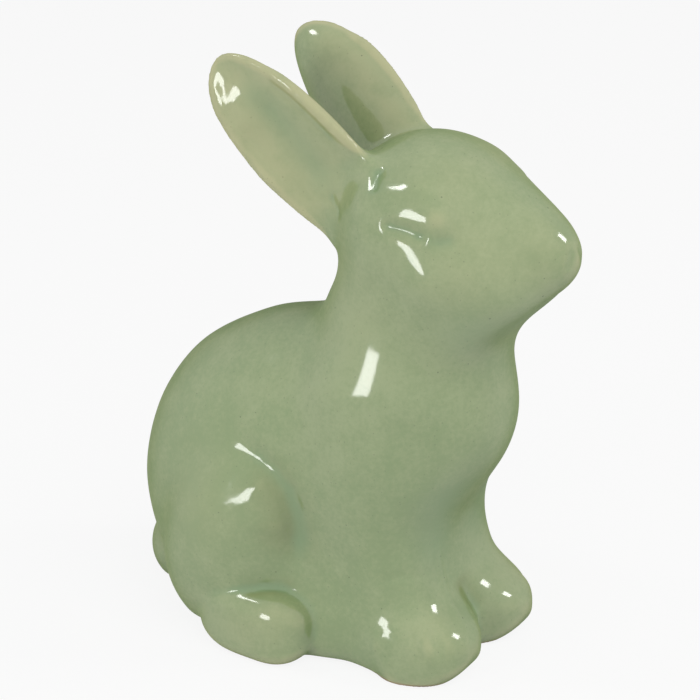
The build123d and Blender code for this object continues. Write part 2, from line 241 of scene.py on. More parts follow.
# Fine modelling, where the amount is a height in millimetres, below zero for a groove
MARKS = (
    Stroke("brow", 1.6, 6.5, 0.0, NEAR),
    Stroke("brow", 0.7, 6.5, 0.0, FAR),
    Stroke("eye mound", 0.9, 4.5, 0.0, NEAR),
    Stroke("eye mound", 0.4, 4.5, 0.0, FAR),
    Stroke("eye groove", -1.2, 1.7, 0.2),
    Stroke("eye corner", -0.4, 2.0, 0.3),
    Stroke("cheek", 1.1, 6.5),
    Stroke("temple", -0.9, 7.0),
    Stroke("nose side", -0.35, 1.1, 0.3),
    Stroke("ear groove", -0.8, 1.6, 0.3),
    Stroke("dish end", -0.7, 1.5, 0.3),
    Stroke("front rim", 0.8, 1.6, 0.2),
    Stroke("front fold", -0.4, 1.4, 0.2),
    Stroke("back rim", 0.6, 1.6, 0.2),
    Stroke("dish", -0.5, 4.0, 0.2),
    Stroke("dish swell", 1.5, 5.0, 0.0, NEAR),
    Stroke("shoulder", 1.4, 7.5),
    Stroke("haunch fold", -1.3, 3.0, 0.25),
    Stroke("haunch swell", 1.1, 6.5, 0.3),
    Stroke("wrist", -0.3, 1.5, 0.3, NEAR),
    Stroke("outer toe", -0.4, 1.3, 0.3),
    Stroke("inner toe", -0.4, 1.3, 0.3),
    Stroke("leg edge", 0.4, 1.6, 0.3, NEAR),
)

# Drifts by shade, where the amount is a share of the shade: most are drifts of the glaze, and some
# lay painted light and painted shade, as marked
DRIFTS = {
    "thin": (
        Stroke("ear middle", 0.75, 11.0, 0.0, NEAR),
        Stroke("back edge", 0.5, 4.5, 0.2, NEAR),
        Stroke("front edge", 0.6, 3.0, 0.2, NEAR),
        # Painted light: beige lightening of the far ear's face on its lit side
        Stroke("inner face", 0.6, 6.0, 0.0, FAR),
        Stroke("cheek front", 0.25, 12.0),
        Stroke("muzzle", 0.25, 9.0),
        Stroke("forehead", 0.2, 14.0),
        Stroke("neck", 0.12, 14.0),
        Stroke("hind toes", 0.25, 8.0),
        Stroke("haunch back", 0.2, 12.0),
        Stroke("fore toes", 0.25, 8.0),
    ),
    "pooled": (
        Stroke("dish pool", 0.5, 4.5, 0.2, NEAR),
        Stroke("dish pool", 0.5, 2.5, 0.2, FAR),
        Stroke("ear groove", 0.9, 1.8, 0.2),
        Stroke("eye pool", 0.5, 1.6, 0.3),
        # Painted shade: teal darkening under the chin and between the legs, where the rabbit shades
        # itself
        Stroke("chin", 0.4, 9.0),
        Stroke("between legs", 0.5, 8.0),
        Stroke("haunch pool", 0.5, 1.8, 0.2),
    ),
    # Painted shade: olive darkening on the far ear's dish, on the haunch where it turns from the
    # light, in the foot crease and between the paws
    "olive": (
        Stroke("inner shade", 0.4, 5.5, 0.2, FAR),
        Stroke("haunch shade", 0.6, 6.5, 0.3),
        Stroke("foot crease", 0.7, 1.8, 0.2),
        Stroke("between paws", 0.7, 4.0, 0.2, NEAR),
    ),
}

# Working of the skin: share of one even round, the least touch of a stroke that evening
# follows, easing that takes off the lattice's steps without shrinking, rounds that calm the
# bend, the bends per millimetre between which the glaze runs thin on a bulge and pools in a
# hollow, and the share of the wiped height that is bare all through
EVEN_ROUND = 0.6
LEAST_TOUCH = 0.01
STEP_EASING = [0.5, -0.52] * 4
BEND_EASING = [EVEN_ROUND] * 14
THIN_BENDS = (0.12, 0.45)
POOLED_BENDS = (-0.05, -0.40)
FULLY_BARE = 0.6

# Faint unevenness: how many waves lie over each other, their shortest and longest length in
# metres, and the seed of their directions
WAVES = 12
WAVE_LENGTHS = (0.014, 0.034)
WAVE_SEED = 7

# Grain of the finishes, in metres
CLOUD_SIZE = 0.045
PATCH_SIZE = 0.007
MOTTLE_SIZE = 0.0012
RIPPLE_SIZE = 0.011
RIPPLE_HEIGHT = 0.001
CLAY_GRAIN_SIZE = 0.0006
CLAY_CLOUD_SIZE = 0.006
CLAY_GRAIN_HEIGHT = 0.0002
PAPER_GRAIN_SIZE = 0.002

# Roughness of the glaze under its glassy coat, of bare clay and of the floor's paper
UNDER_COAT, BARE_CLAY, PAPER = 0.38, 0.85, 0.9

# Iron specks: spacing in metres, radius as a share of it, and how strongly they show
SMALL_SPECKS = (0.0013, 0.15, 0.28)
LARGE_SPECKS = (0.0045, 0.055, 0.6)
CLAY_SPECKS = (0.002, 0.12, 0.6)
SPECKS_SHOWN = 0.5

# Studio: half the floor's side, how far it is seen as plain white, what the lamps point at,
# and each lamp with its azimuth and elevation in degrees, distance, width and height in
# metres, watts, and whether it is mirrored
FLOOR_HALF = 3.0
FLOOR_WHITE = 0.88
LAMP_AIM = (0, 0, 0.08)
LAMPS = (
    ("lamp_soft", (-25, 50), 1.1, (0.9, 0.9), 5.0, False),
    ("lamp_left", (-106, 9), 0.9, (0.24, 0.26), 1.9, True),
    ("lamp_right", (28, 38), 0.9, (0.16, 0.20), 1.4, True),
    ("lamp_rear", (-150, 45), 0.9, (0.12, 0.16), 0.8, True),
)

# What the operators hand to each other: the glaze skin and the materials
workshop = {}


def step(low, high, value):
    """Smooth rise from 0 at low to 1 at high."""
    share = np.clip((value - low) / (high - low), 0, 1)
    return share * share * (3 - 2 * share)


def join(first, second, softness):
    """Runs two surfaces into each other with a fillet."""
    overlap = np.maximum(softness - np.abs(first - second), 0) / softness
    return np.minimum(first, second) - overlap**2 * softness / 4


def unit(vectors):
    """Vectors brought to a length of 1."""
    return vectors / np.maximum(np.linalg.norm(vectors, axis=-1, keepdims=True), TINY)


class Lattice:
    """Regular points around the rabbit that hold distances to its surfaces."""

    def __init__(self, spacing, margin, seam):
        """The neck seam falls half way between two layers, so that no layer lies on it."""
        low, high = (np.array(corner) for corner in CAD_BOX)
        self.spacing = spacing
        self.margin = margin
        self.start = low - margin
        self.start[2] = seam - (math.ceil((seam + margin) / spacing) + 0.5) * spacing
        self.shape = tuple(np.ceil((high + margin - self.start) / spacing).astype(int) + 1)
        self.transform = openvdb.createLinearTransform(voxelSize=spacing)
        self.transform.postTranslate(tuple(self.start))

    def distances(self, points, triangles=None, quads=None, reach=None):
        """Signed distance to a closed mesh on every lattice point, below zero inside."""
        reach = reach or self.margin
        grid = openvdb.FloatGrid.createLevelSetFromPolygons(
            points,
            triangles=triangles,
            quads=quads,
            transform=self.transform,
            halfWidth=reach / self.spacing,
        )
        field = np.full(self.shape, reach, np.float32)
        grid.copyToArray(field)
        return field

    def surface(self, field):
        """Points and quads where a field is zero."""
        grid = openvdb.FloatGrid(self.margin)
        grid.copyFromArray(field)
        grid.transform = self.transform
        points, quads = grid.convertToQuads(0.0)
        return points.astype(np.float64), quads.astype(np.int64)

    def sample(self, field, points):
        """Field values at any points, blended from the eight around each."""
        place = (points - self.start) / self.spacing
        cell = np.clip(np.floor(place).astype(int), 0, np.array(self.shape) - 2)
        share = place - cell
        value = np.zeros(len(points))
        for corner in np.ndindex(2, 2, 2):
            weight = np.ones(len(points))
            for axis in range(3):
                part = share[:, axis]
                weight *= part if corner[axis] else 1 - part
            at = cell + corner
            value += weight * field[at[:, 0], at[:, 1], at[:, 2]]
        return value

    def slope(self, field, points):
        """Direction in which a field grows, at any points."""
        half = self.spacing / 2
        parts = []
        for axis in range(3):
            move = np.zeros(3)
            move[axis] = half
            rise = self.sample(field, points + move) - self.sample(field, points - move)
            parts.append(rise / self.spacing)
        return np.stack(parts, axis=-1)


def blurred(field, rounds):
    """A field softened over its neighbours along each axis."""
    for _ in range(rounds):
        for axis in range(3):
            padded = np.concatenate(
                [np.take(field, [0], axis), field, np.take(field, [-1], axis)], axis
            )
            count = field.shape[axis]
            before = np.take(padded, range(count), axis)
            after = np.take(padded, range(2, count + 2), axis)
            field = (before + 2 * field + after) / 4
    return field


def node_mesh(name):
    """Corner points and triangles of a clay piece."""
    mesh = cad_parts[name].data
    mesh.calc_loop_triangles()
    points = np.empty(3 * len(mesh.vertices), np.float32)
    mesh.vertices.foreach_get("co", points)
    triangles = np.empty(3 * len(mesh.loop_triangles), np.int32)
    mesh.loop_triangles.foreach_get("vertices", triangles)
    return points.reshape(-1, 3), triangles.reshape(-1, 3).astype(np.uint32)


def walled_in(solid):
    """Lattice points with clay on both sides along at least two axes."""
    count = np.zeros(solid.shape, np.int8)
    for axis in range(3):
        before = np.logical_or.accumulate(solid, axis)
        after = np.flip(np.logical_or.accumulate(np.flip(solid, axis), axis), axis)
        count += before & after
    return count >= 2


def casting_distances(lattice):
    """Distance to the outside of body and head, with the sealed space inside filled."""
    near = 3 * lattice.spacing
    wall = None
    for name in CASTINGS:
        part = lattice.distances(*node_mesh(name), reach=near)
        wall = part if wall is None else np.minimum(wall, part)
    shut = walled_in(wall < 0)
    heights = lattice.start[2] + lattice.spacing * np.arange(lattice.shape[2])
    shut[:, :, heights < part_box("base_disc")[1].z] = False
    wall[shut] = -near
    points, quads = lattice.surface(wall)
    return lattice.distances(points.astype(np.float32), quads=quads.astype(np.uint32))


def edge_pairs(quads):
    """Each edge of the quads once, as pairs of point numbers."""
    sides = np.stack([quads, np.roll(quads, -1, axis=1)], axis=-1).reshape(-1, 2)
    return np.unique(np.sort(sides, axis=1), axis=0)


def eased(values, pairs, shares):
    """Values at points drawn towards those of their neighbours, once for each share."""
    count = len(values)
    near = np.bincount(pairs.ravel(), minlength=count)[:, None]
    flat = values.reshape(count, -1)
    for share in shares:
        total = np.stack(
            [
                np.bincount(pairs[:, 0], column[pairs[:, 1]], count)
                + np.bincount(pairs[:, 1], column[pairs[:, 0]], count)
                for column in flat.T
            ],
            axis=-1,
        )
        flat = flat + share * (total / near - flat)
    return flat.reshape(values.shape)


def along_line(points, line):
    """Distance of points to a line of corners, and the share of its length passed there."""
    steps = np.linalg.norm(np.diff(line, axis=0), axis=1)
    passed = np.concatenate([[0], np.cumsum(steps)]) / max(steps.sum(), TINY)
    best = np.full(len(points), np.inf)
    share = np.zeros(len(points))
    for index in range(max(len(line) - 1, 1)):
        start, end = line[index], line[min(index + 1, len(line) - 1)]
        run = end - start
        at = np.clip((points - start) @ run / max(run @ run, TINY), 0, 1)
        away = np.linalg.norm(points - start - at[:, None] * run, axis=1)
        closer = away < best
        best[closer] = away[closer]
        span = passed[min(index + 1, len(line) - 1)] - passed[index]
        share[closer] = passed[index] + span * at[closer]
    return best, share


def touched(points, stroke):
    """How much a stroke touches each point: all of it on its line, and less beside it."""
    strength = np.zeros(len(points))
    reach = 3 * stroke.width * MILLIMETRE
    for side in stroke.sides:
        corners = np.array(LINES[stroke.line]) * MILLIMETRE * (side, 1, 1)
        low, high = corners.min(axis=0), corners.max(axis=0)
        near = np.all((points > low - reach) & (points < high + reach), axis=1)
        away, share = along_line(points[near], corners)
        here = np.exp(-((away / (stroke.width * MILLIMETRE)) ** 2))
        if stroke.fade:
            here = step(0, stroke.fade, share) * step(0, stroke.fade, 1 - share) * here
        strength[near] = np.maximum(strength[near], here)
    return strength


def evened(rounds, points, pairs, stroke):
    """Points round a line drawn smooth, and those further away left alone."""
    strength = touched(points, stroke)
    near = np.flatnonzero(strength > LEAST_TOUCH)
    number = np.full(len(points), -1)
    number[near] = np.arange(len(near))
    inner = number[pairs]
    inner = inner[np.all(inner >= 0, axis=1)]
    moved = points[near]
    share = np.minimum(stroke.amount * strength[near], 1)[:, None]
    for _ in range(rounds):
        moved = moved + share * (eased(moved, inner, [EVEN_ROUND]) - moved)
    points = points.copy()
    points[near] = moved
    return points


def pressed(points, normals):
    """Points moved by the fine modelling."""
    lift = sum(mark.amount * touched(points, mark) for mark in MARKS)
    return points + normals * lift[:, None] * MILLIMETRE


def drifted(shade, points, start):
    """A shade of the glaze with its drifts laid over it, painted light and painted shade among them.
    """
    for drift in DRIFTS[shade]:
        start = start + (1 - start) * drift.amount * touched(points, drift)
    return start


def bend_of(points, pairs, normals):
    """How strongly the surface bends at each point, per millimetre, above zero where it bulges."""
    pull = eased(points, pairs, [1.0]) - points
    edges = points[pairs[:, 0]] - points[pairs[:, 1]]
    square = np.mean(np.sum(edges**2, axis=1))
    return -4 * np.sum(pull * normals, axis=1) / square * MILLIMETRE


def corner_normals(points, quads):
    """Smooth normal at each point."""
    across = points[quads[:, 2]] - points[quads[:, 0]]
    along = points[quads[:, 3]] - points[quads[:, 1]]
    faces = np.cross(across, along)
    total = np.zeros_like(points)
    for corner in range(4):
        for axis in range(3):
            total[:, axis] += np.bincount(quads[:, corner], faces[:, axis], len(points))
    return unit(total)


def boundary_loops(quads):
    """Closed rows of point numbers round the open edges of some quads."""
    sides = np.stack([quads, np.roll(quads, -1, axis=1)], axis=-1).reshape(-1, 2)
    here = set(map(tuple, sides))
    onward = {}
    for start, end in here:
        if (end, start) not in here:
            onward.setdefault(start, []).append(end)
    loops = []
    while onward:
        first = next(iter(onward))
        loop, at = [], first
        while at in onward:
            loop.append(at)
            ends = onward[at]
            ahead = ends.pop()
            if not ends:
                del onward[at]
            at = ahead
        loops.append(loop)
    return loops


class RabbitShape(bpy.types.PropertyGroup):
    """Sizes of the glaze skin."""

    spacing: FloatProperty(
        name="Fineness",
        description="Side of one patch of the skin",
        default=0.0006,
        precision=5,
        unit="LENGTH",
    )
    reach: FloatProperty(
        name="Reach",
        description="How far from the clay the skin is worked out",
        default=0.009,
        precision=4,
        unit="LENGTH",
    )
    ear_fillet: FloatProperty(
        name="Ear fillet",
        description="Softness of the glaze where an ear meets the head",
        default=0.005,
        precision=4,
        unit="LENGTH",
    )
    paw_fillet: FloatProperty(
        name="Paw fillet",
        description="Softness where a fore paw runs into its leg",
        default=0.0075,
        precision=4,
        unit="LENGTH",
    )
    foot_fillet: FloatProperty(
        name="Foot fillet",
        description="Softness of the crease between a hind foot and its haunch",
        default=0.0013,
        precision=4,
        unit="LENGTH",
    )
    tail_fillet: FloatProperty(
        name="Tail fillet",
        description="Softness where the tail lies against the rump",
        default=0.006,
        precision=4,
        unit="LENGTH",
    )
    softening: IntProperty(
        name="Softening",
        description="Rounds of smoothing that the glaze gives the clay",
        default=2,
    )
    evening: IntProperty(
        name="Evening",
        description="Rounds of smoothing that body and head get away from their creases",
        default=40,
    )
    evening_close: IntProperty(
        name="Close evening",
        description="Rounds of smoothing at throat and belly",
        default=250,
    )
    crease_keep: FloatProperty(
        name="Crease keep",
        description="How far from a limb the evening leaves the skin alone",
        default=0.0015,
        precision=4,
        unit="LENGTH",
    )
    wave: FloatProperty(
        name="Wave",
        description="Height of the faint unevenness of the hand-finished form",
        default=0.0004,
        precision=5,
        unit="LENGTH",
    )


class RabbitGlaze(bpy.types.PropertyGroup):
    """Colours and finish of glaze and clay."""

    colour: FloatVectorProperty(
        name="Glaze",
        description="Sage green of an even coat of glaze",
        default=(0.250, 0.330, 0.158),
        subtype="COLOR",
    )
    warm: FloatVectorProperty(
        name="Warm glaze",
        description="Yellower drift in an even coat of glaze",
        default=(0.320, 0.384, 0.203),
        subtype="COLOR",
    )
    # Beige of thin glaze, also painted as light on the lit side of the far ear
    thin: FloatVectorProperty(
        name="Thin glaze",
        description="Beige where the glaze runs thin over the clay",
        default=(0.46, 0.465, 0.252),
        subtype="COLOR",
    )
    # Teal of pooled glaze, also painted as shade under the chin and between the legs
    pooled: FloatVectorProperty(
        name="Pooled glaze",
        description="Teal where the glaze lies thick",
        default=(0.225, 0.325, 0.17),
        subtype="COLOR",
    )
    # Painted shade: olive darkening laid where the rabbit turns from the light, in creases and
    # between parts
    olive: FloatVectorProperty(
        name="Olive glaze",
        description="Deeper tone beside folds",
        default=(0.225, 0.27, 0.115),
        subtype="COLOR",
    )
    speck: FloatVectorProperty(
        name="Specks",
        description="Iron specks in the glaze",
        default=(0.085, 0.105, 0.05),
        subtype="COLOR",
    )
    clay: FloatVectorProperty(
        name="Bare clay",
        description="Fired clay of the wiped foot and the disc",
        default=(0.42, 0.30, 0.20),
        subtype="COLOR",
    )
    bare_height: FloatProperty(
        name="Wiped foot",
        description="Height to which the glaze was wiped off above the table",
        default=0.0008,
        precision=5,
        unit="LENGTH",
    )
    sheen: FloatProperty(
        name="Coat roughness",
        description="Roughness of the glassy top of the glaze",
        default=0.10,
        subtype="FACTOR",
    )


class RabbitStudio(bpy.types.PropertyGroup):
    """Camera and lamps."""

    azimuth: FloatProperty(
        name="Azimuth",
        description="Side from which the camera looks",
        default=math.radians(-57),
        subtype="ANGLE",
        unit="ROTATION",
    )
    elevation: FloatProperty(
        name="Elevation",
        description="Height of the camera above the horizon",
        default=math.radians(22),
        subtype="ANGLE",
        unit="ROTATION",
    )
    distance: FloatProperty(
        name="Distance",
        description="From the camera to the middle of its view",
        default=0.619,
        unit="LENGTH",
    )
    middle: FloatVectorProperty(
        name="Middle of the view",
        description="Place that the camera looks at",
        default=(-0.0103, -0.00565, 0.0813),
        precision=5,
        subtype="XYZ",
        unit="LENGTH",
    )
    lens: FloatProperty(
        name="Lens",
        description="Focal length in millimetres on a sensor 36 mm wide",
        default=125.3,
    )
    world_strength: FloatProperty(
        name="Room light",
        description="Strength of the plain light from all around",
        default=0.42,
    )


class RABBIT_OT_glaze_skin(bpy.types.Operator):
    """Works out the one continuous skin that the glaze forms over all clay pieces"""

    bl_idname = "rabbit.glaze_skin"
    bl_label = "Form the Glaze Skin"

    def execute(self, context):
        """Joins the clay pieces with fillets and keeps points, patches and shades."""
        shape = context.scene.rabbit_shape
        glaze = context.scene.rabbit_glaze
        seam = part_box("head_casting")[0].z
        lattice = Lattice(shape.spacing, shape.reach, seam)
        castings = casting_distances(lattice)
        skin = castings.copy()
        limbs = {}
        for name, fillet in LIMBS.items():
            limbs[name] = lattice.distances(*node_mesh(name))
            skin = join(skin, limbs[name], getattr(shape, fillet))
        skin = blurred(skin, shape.softening)
        points, quads = lattice.surface(skin)
        inward = lattice.slope(skin, points[quads[:, 0]])
        across = points[quads[:, 2]] - points[quads[:, 0]]
        along = points[quads[:, 3]] - points[quads[:, 1]]
        if np.sum(np.cross(across, along) * inward) < 0:
            quads = quads[:, ::-1]
        pairs = edge_pairs(quads)
        points = eased(points, pairs, STEP_EASING)
        points = self.smoothed(shape, lattice, limbs, points, pairs)
        for stroke in EVENED:
            points = evened(shape.evening_close, points, pairs, stroke)
        points = pressed(points, corner_normals(points, quads))
        points = self.wavy(shape, points, corner_normals(points, quads))
        points = np.clip(points, *CAD_BOX)
        normals = corner_normals(points, quads)
        bend = eased(bend_of(points, pairs, normals), pairs, BEND_EASING)
        owner = self.owners(lattice, castings, limbs, points, quads, seam)
        workshop["skin"] = {
            "points": points,
            "quads": quads,
            "normals": normals,
            "owner": owner,
            "thin": drifted("thin", points, step(*THIN_BENDS, bend)),
            "pooled": drifted("pooled", points, step(*POOLED_BENDS, bend)),
            "olive": drifted("olive", points, np.zeros(len(points))),
            "bare": 1 - step(glaze.bare_height * FULLY_BARE, glaze.bare_height, points[:, 2]),
        }
        return {"FINISHED"}

    def smoothed(self, shape, lattice, limbs, points, pairs):
        """Body and head made even, away from the creases round the limbs and the foot edge."""
        away = np.full(len(points), shape.reach)
        for field in limbs.values():
            away = np.minimum(away, np.abs(lattice.sample(field, points)))
        free = step(shape.crease_keep, 3 * shape.crease_keep, away)
        free *= step(2 * shape.crease_keep, 4 * shape.crease_keep, points[:, 2])
        for _ in range(shape.evening):
            points = points + free[:, None] * (eased(points, pairs, [EVEN_ROUND]) - points)
        return points

    def wavy(self, shape, points, normals):
        """A faint unevenness, as of a form that was finished by hand."""
        draw = np.random.default_rng(WAVE_SEED)
        lift = np.zeros(len(points))
        for _ in range(WAVES):
            way = unit(draw.normal(size=3))
            length = draw.uniform(*WAVE_LENGTHS)
            lift += np.sin(points @ way * (math.tau / length) + draw.uniform(0, math.tau))
        return points + normals * (lift * shape.wave / WAVES)[:, None]

    def owners(self, lattice, castings, limbs, points, quads, seam):
        """Which clay piece each patch covers, as a number in PIECES."""
        middles = points[quads].mean(axis=1)
        best = lattice.sample(castings, middles)
        body, head = (PIECES.index(name) for name in CASTINGS)
        owner = np.where(middles[:, 2] < seam, body, head)
        for name, field in limbs.items():
            near = lattice.sample(field, middles)
            owner[near < best] = PIECES.index(name)
            best = np.minimum(best, near)
        return owner


def skin_piece(name):
    """The part of the glaze skin over one clay piece, closed where it meets the others."""
    skin = workshop["skin"]
    quads = skin["quads"][skin["owner"] == PIECES.index(name)]
    used, patches = np.unique(quads, return_inverse=True)
    patches = patches.reshape(quads.shape)
    points = skin["points"][used]
    faces = patches.tolist()
    middles = []
    for loop in boundary_loops(patches):
        centre = len(points) + len(middles)
        middles.append(points[loop].mean(axis=0))
        faces += [(a, centre, b) for a, b in zip(loop, loop[1:] + loop[:1])]
    if middles:
        points = np.vstack([points, middles])
    mesh = bpy.data.meshes.new(name + "_glazed")
    mesh.from_pydata(points.tolist(), [], faces)
    for shade in SHADES:
        layer = mesh.attributes.new(shade, "FLOAT", "POINT")
        values = np.zeros(len(points), np.float32)
        values[: len(used)] = skin[shade][used]
        layer.data.foreach_set("value", values)
    mesh.polygons.foreach_set("use_smooth", [True] * len(mesh.polygons))
    normals = np.zeros((len(mesh.loops), 3), np.float32)
    normals[: patches.size] = skin["normals"][used][patches.ravel()]
    mesh.normals_split_custom_set(normals.tolist())
    mesh.update()
    piece = bpy.data.objects.new(name + "_glazed", mesh)
    bpy.context.scene.collection.objects.link(piece)
    mesh.materials.append(workshop["celadon_glaze"])
    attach(piece, BODY)
    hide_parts(name)


def new_group(name, inputs, outputs):
    """An empty shader node group with named sockets."""
    group = bpy.data.node_groups.new(name, "ShaderNodeTree")
    for socket, kind, value in inputs:
        made = group.interface.new_socket(socket, in_out="INPUT", socket_type=kind)
        made.default_value = value
    for socket, kind in outputs:
        group.interface.new_socket(socket, in_out="OUTPUT", socket_type=kind)
    return group


class Bench:
    """Short ways to add and wire the nodes of one node tree."""

    def __init__(self, tree):
        self.tree = tree
        self.count = 0

    def add(self, kind, **settings):
        """A new node with its settings."""
        node = self.tree.nodes.new(kind)
        node.location = (220 * self.count, 0)
        self.count += 1
        for key, value in settings.items():
            setattr(node, key, value)
        return node

    def feed(self, source, target):
        """A wire between two sockets, or a plain value into one."""
        if isinstance(source, bpy.types.NodeSocket):
            self.tree.links.new(source, target)
        else:
            target.default_value = source

    def math(self, operation, first, second):
        """Arithmetic on two values."""
        node = self.add("ShaderNodeMath", operation=operation)
        self.feed(first, node.inputs[0])
        self.feed(second, node.inputs[1])
        return node.outputs[0]

    def ramp(self, value, low, high, start=0.0, end=1.0):
        """A value moved from one range to another."""
        node = self.add("ShaderNodeMapRange", interpolation_type="SMOOTHSTEP")
        for given, socket in zip((value, low, high, start, end), node.inputs):
            self.feed(given, socket)
        return node.outputs[0]

    def total(self, *weighted):
        """Sum of several values, each times its weight."""
        result = None
        for value, weight in weighted:
            part = self.math("MULTIPLY", value, weight)
            result = part if result is None else self.math("ADD", result, part)
        return result

    def mix(self, share, first, second):
        """Two colours mixed by a share."""
        # The node has more sockets than it shows: 6 and 7 take the colours, and 2 gives one
        node = self.add("ShaderNodeMix", data_type="RGBA")
        self.feed(share, node.inputs[0])
        self.feed(first, node.inputs[6])
        self.feed(second, node.inputs[7])
        return node.outputs[2]

    def noise(self, place, size, detail=3.0, roughness=0.5):
        """Cloudy noise with spots of about the given size in metres."""
        node = self.add("ShaderNodeTexNoise")
        self.feed(place, node.inputs["Vector"])
        self.feed(1 / size, node.inputs["Scale"])
        self.feed(detail, node.inputs["Detail"])
        self.feed(roughness, node.inputs["Roughness"])
        return node.outputs[0]

    def group(self, tree, **inputs):
        """A node group placed with its values."""
        node = self.add("ShaderNodeGroup", node_tree=tree)
        for name, value in inputs.items():
            self.feed(value, node.inputs[name])
        return node


def speck_group():
    """Dark iron specks. Their radius is a share of their spacing, and only some are shown."""
    group = new_group(
        "Iron specks",
        [
            ("Place", "NodeSocketVector", (0, 0, 0)),
            ("Spacing", "NodeSocketFloat", 0.002),
            ("Radius", "NodeSocketFloat", 0.1),
            ("Shown", "NodeSocketFloat", 0.5),
        ],
        [("Specks", "NodeSocketFloat")],
    )
    bench = Bench(group)
    given = bench.add("NodeGroupInput")
    cells = bench.add("ShaderNodeTexVoronoi", feature="F1")
    bench.feed(given.outputs["Place"], cells.inputs["Vector"])
    bench.feed(bench.math("DIVIDE", 1.0, given.outputs["Spacing"]), cells.inputs["Scale"])
    tone = bench.add("ShaderNodeSeparateColor")
    bench.feed(cells.outputs["Color"], tone.inputs[0])
    smallest, largest = 0.4, 1.3
    uneven = bench.ramp(tone.outputs[1], 0, 1, smallest, largest)
    radius = bench.math("MULTIPLY", given.outputs["Radius"], uneven)
    inner = bench.math("MULTIPLY", radius, 0.5)
    dot = bench.ramp(cells.outputs["Distance"], radius, inner)
    shown = bench.math("LESS_THAN", tone.outputs[0], given.outputs["Shown"])
    result = bench.add("NodeGroupOutput")
    bench.feed(bench.math("MULTIPLY", dot, shown), result.inputs[0])
    return group


def clay_group():
    """Fired clay: fine grain with darker pits."""
    group = new_group(
        "Fired clay",
        [
            ("Place", "NodeSocketVector", (0, 0, 0)),
            ("Clay", "NodeSocketColor", (0.4, 0.3, 0.2, 1)),
        ],
        [("Colour", "NodeSocketColor"), ("Height", "NodeSocketFloat")],
    )
    bench = Bench(group)
    given = bench.add("NodeGroupInput")
    scorched, sandy = (0.12, 0.07, 0.04, 1), (0.75, 0.62, 0.47, 1)
    grain = bench.noise(given.outputs["Place"], CLAY_GRAIN_SIZE, detail=4.0, roughness=0.7)
    cloud = bench.noise(given.outputs["Place"], CLAY_CLOUD_SIZE, detail=2.0)
    dark = bench.mix(0.45, given.outputs["Clay"], scorched)
    colour = bench.mix(bench.ramp(cloud, 0.35, 0.75), given.outputs["Clay"], dark)
    colour = bench.mix(bench.ramp(grain, 0.5, 0.75, 0, 0.4), colour, sandy)
    result = bench.add("NodeGroupOutput")
    bench.feed(colour, result.inputs[0])
    bench.feed(grain, result.inputs[1])
    return group


def colour_of(value):
    """A stored colour with full opacity."""
    return (*value, 1.0)


def glaze_colour(bench, place, shades, glaze):
    """Two greens that drift into each other, then painted olive shade, beige for thin glaze and
    painted light, and teal for pooled glaze and painted shade over them.
    """
    broad = bench.noise(place, CLOUD_SIZE, roughness=0.55)
    fine = bench.noise(place, PATCH_SIZE, roughness=0.6)
    mottle = bench.noise(place, MOTTLE_SIZE, roughness=0.7)
    drift = bench.total((broad, 0.45), (fine, 0.27), (mottle, 0.28))
    warmth = bench.ramp(drift, 0.38, 0.62)
    colour = bench.mix(warmth, colour_of(glaze.colour), colour_of(glaze.warm))
    thin = bench.math("MULTIPLY", shades["thin"], bench.ramp(fine, 0.2, 0.6, 0.6, 1.0))
    # Olive painted shade laid over the greens
    colour = bench.mix(shades["olive"], colour, colour_of(glaze.olive))
    colour = bench.mix(thin, colour, colour_of(glaze.thin))
    return bench.mix(shades["pooled"], colour, colour_of(glaze.pooled))


def specked(bench, colour, place, specks, sort, glaze):
    """A colour with one sort of iron specks over it."""
    spacing, radius, strength = sort
    dots = bench.group(specks, Place=place, Spacing=spacing, Radius=radius, Shown=SPECKS_SHOWN)
    share = bench.math("MULTIPLY", dots.outputs["Specks"], strength)
    return bench.mix(share, colour, colour_of(glaze.speck))


def bumped(bench, shader, height, strength, distance):
    """Fine relief on a shader."""
    bump = bench.add("ShaderNodeBump")
    bench.feed(strength, bump.inputs["Strength"])
    bench.feed(distance, bump.inputs["Distance"])
    bench.feed(height, bump.inputs["Height"])
    bench.feed(bump.outputs[0], shader.inputs["Normal"])
    return bump


def glaze_material(glaze, specks, clay):
    """Glassy celadon that is beige where thin and where painted light falls, teal where pooled and
    as painted shade, with painted olive shade, and bare at the foot.
    """
    material = bpy.data.materials.new("celadon_glaze")
    material.use_nodes = True
    bench = Bench(material.node_tree)
    shader = material.node_tree.nodes["Principled BSDF"]
    place = bench.add("ShaderNodeTexCoord").outputs["Object"]
    shades = {
        name: bench.add("ShaderNodeAttribute", attribute_name=name).outputs["Fac"]
        for name in SHADES
    }
    colour = glaze_colour(bench, place, shades, glaze)
    colour = specked(bench, colour, place, specks, SMALL_SPECKS, glaze)
    colour = specked(bench, colour, place, specks, LARGE_SPECKS, glaze)
    fired = bench.group(clay, Place=place, Clay=colour_of(glaze.clay))
    colour = bench.mix(shades["bare"], colour, fired.outputs["Colour"])
    bench.feed(colour, shader.inputs["Base Color"])
    roughness = bench.ramp(shades["bare"], 0, 1, UNDER_COAT, BARE_CLAY)
    bench.feed(roughness, shader.inputs["Roughness"])
    facing = bench.add("ShaderNodeLayerWeight")
    facing.inputs["Blend"].default_value = 0.5
    coat = bench.ramp(facing.outputs["Facing"], 0.3, 0.8, 1.0, 0.05)
    glazed = bench.ramp(shades["bare"], 0, 1, 1, 0)
    bench.feed(bench.math("MULTIPLY", coat, glazed), shader.inputs["Coat Weight"])
    shader.inputs["Specular IOR Level"].default_value = 0.0
    shader.inputs["Coat Roughness"].default_value = glaze.sheen
    shader.inputs["Coat IOR"].default_value = 1.6
    ripple = bench.noise(place, RIPPLE_SIZE, detail=1.0)
    bump = bumped(bench, shader, ripple, 0.10, RIPPLE_HEIGHT)
    bench.feed(bump.outputs[0], shader.inputs["Coat Normal"])
    return material


